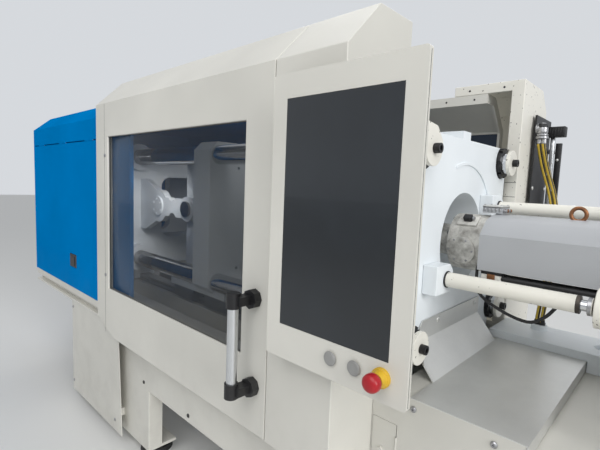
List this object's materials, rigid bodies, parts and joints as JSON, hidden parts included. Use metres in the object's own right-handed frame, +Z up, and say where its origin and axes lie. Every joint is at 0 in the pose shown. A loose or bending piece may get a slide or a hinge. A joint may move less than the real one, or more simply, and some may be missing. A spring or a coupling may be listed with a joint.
{
  "type": "injection moulding machine",
  "caption": "Horizontal two-platen injection moulding machine: guarded clamp with sliding doors, operator panel, drip tray and sliding injection unit.",
  "frame": {"origin": "on the floor under the middle of the bounding box", "axes": "+X along the machine towards the injection side, -Y to the operator, +Z up"},
  "size_m": [5.4, 1.625, 1.887],
  "materials": {
    "guard_grey": "warm grey powder coat",
    "machine_white": "satin white enamel",
    "cream_paint": "cream enamel",
    "housing_blue": "saturated blue enamel",
    "stainless": "brushed stainless sheet",
    "steel": "ground steel",
    "chromed_rod": "ground and chromed",
    "black_steel": "blackened steel",
    "aluminium_tube": "anodised aluminium",
    "window_tint": "tinted clear pane",
    "display_glass": "dark glossy display",
    "button_grey": "grey plastic",
    "stop_red": "red plastic",
    "stop_yellow": "yellow plastic",
    "cable_black": "black cable sheath",
    "hose_striped": "yellow and black hose",
    "guard_satin": "grey satin enamel",
    "heater_wrap": "insulating wrap",
    "dark_steel": "heat-darkened steel",
    "foot_rubber": "black rubber and steel"
  },
  "bodies": {
    "frame": {"clamp_bed": "guard_grey", "injection_bed": "guard_grey", "bed_front_panel": "guard_grey", "front_panel_screws": "steel", "leg_cover": "guard_grey", "levelling_feet": "foot_rubber", "drip_tray": "stainless", "rear_deck": "machine_white", "platen_rails": "steel", "fixed_platen": "machine_white", "tie_bars": "chromed_rod", "tie_bar_nuts": "black_steel", "tie_bar_caps": "cream_paint", "cap_bolts": "black_steel", "tie_bar_support": "machine_white", "rod_brackets": "machine_white", "rod_sleeves": "cream_paint", "carriage_rods": "chromed_rod", "traverse_cylinder": "steel", "clamp_housing": "housing_blue", "hinge_pins": "steel", "door_rails": "guard_grey", "fixed_cover": "guard_grey", "panel_housing": "guard_grey", "display_glass": "display_glass", "estop_base": "stop_yellow", "rear_cover": "cream_paint", "hose_plate": "black_steel", "coolant_hoses": "hose_striped", "injection_rails": "steel"},
    "door": {"operator_door": "guard_grey", "door_rollers": "steel", "door_window": "window_tint", "handle_brackets": "black_steel", "handle_tube": "aluminium_tube"},
    "gate": {"rear_gate": "guard_grey"},
    "clamp": {"moving_platen": "machine_white", "guide_shoes": "steel", "side_yokes": "machine_white", "yoke_pins": "steel", "clamp_block": "machine_white", "traverse_rod": "chromed_rod", "ejector_cylinder": "steel"},
    "lock_front": {"lock_halves_front": "black_steel"},
    "lock_rear": {"lock_halves_rear": "black_steel"},
    "ejector": {"ejector_plate": "steel"},
    "carriage": {"carriage_base": "machine_white", "barrel": "dark_steel", "heater_bands": "heater_wrap", "barrel_guard": "guard_satin", "barrel_cables": "cable_black", "carriage_cylinders": "cream_paint"},
    "drive": {"screw_drive": "machine_white"},
    "screw": {"screw": "steel"},
    "estop": {"estop_head": "stop_red"},
    "start": {"start_button": "button_grey"},
    "stop": {"stop_button": "button_grey"},
    "side_panel": {"clamp_side_panel": "housing_blue"},
    "latch": {"panel_latch": "black_steel"},
    "flap": {"access_flap": "guard_grey"}
  },
  "joints": [
    {"name": "door_slide", "type": "slide", "parent": "frame", "child": "door", "axis": [1, 0, 0], "range_m": [-1.15, 0]},
    {"name": "gate_slide", "type": "slide", "parent": "frame", "child": "gate", "axis": [1, 0, 0], "range_m": [-1.15, 0]},
    {"name": "clamp_slide", "type": "slide", "parent": "frame", "child": "clamp", "axis": [1, 0, 0], "range_m": [-0.25, 0.45]},
    {"name": "lock_front_slide", "type": "slide", "parent": "clamp", "child": "lock_front", "axis": [0, 1, 0], "range_m": [0, 0.025]},
    {"name": "lock_rear_slide", "type": "slide", "parent": "clamp", "child": "lock_rear", "axis": [0, -1, 0], "range_m": [0, 0.025]},
    {"name": "ejector_slide", "type": "slide", "parent": "clamp", "child": "ejector", "axis": [1, 0, 0], "range_m": [0, 0.12]},
    {"name": "carriage_slide", "type": "slide", "parent": "frame", "child": "carriage", "axis": [1, 0, 0], "range_m": [-0.015, 0.335]},
    {"name": "drive_slide", "type": "slide", "parent": "carriage", "child": "drive", "axis": [1, 0, 0], "range_m": [0, 0.18]},
    {"name": "screw_turn", "type": "hinge", "parent": "drive", "child": "screw", "pos_m": [1.7, 0, 1.215], "axis": [1, 0, 0], "continuous": true},
    {"name": "estop_press", "type": "slide", "parent": "frame", "child": "estop", "axis": [0, 1, 0], "range_m": [0, 0.005]},
    {"name": "start_press", "type": "slide", "parent": "frame", "child": "start", "axis": [0, 1, 0], "range_m": [0, 0.0025], "stiffness_N_per_m": 400, "springref_m": -0.002},
    {"name": "stop_press", "type": "slide", "parent": "frame", "child": "stop", "axis": [0, 1, 0], "range_m": [0, 0.0025], "stiffness_N_per_m": 400, "springref_m": -0.002},
    {"name": "side_panel_lift", "type": "hinge", "parent": "frame", "child": "side_panel", "pos_m": [-2.09, -0.641, 1.589], "axis": [-1, 0, 0], "range_deg": [0, 80]},
    {"name": "latch_pull", "type": "hinge", "parent": "side_panel", "child": "latch", "pos_m": [-1.931, -0.64, 0.914], "axis": [-1, 0, 0], "range_deg": [0, 60]},
    {"name": "flap_swing", "type": "hinge", "parent": "frame", "child": "flap", "pos_m": [0.20075, -0.465, 0.5435], "axis": [0, 0, 1], "range_deg": [0, 100]}
  ],
  "couplings": [
    {"joint": "lock_rear_slide", "follows": "lock_front_slide", "ratio": 1}
  ]
}
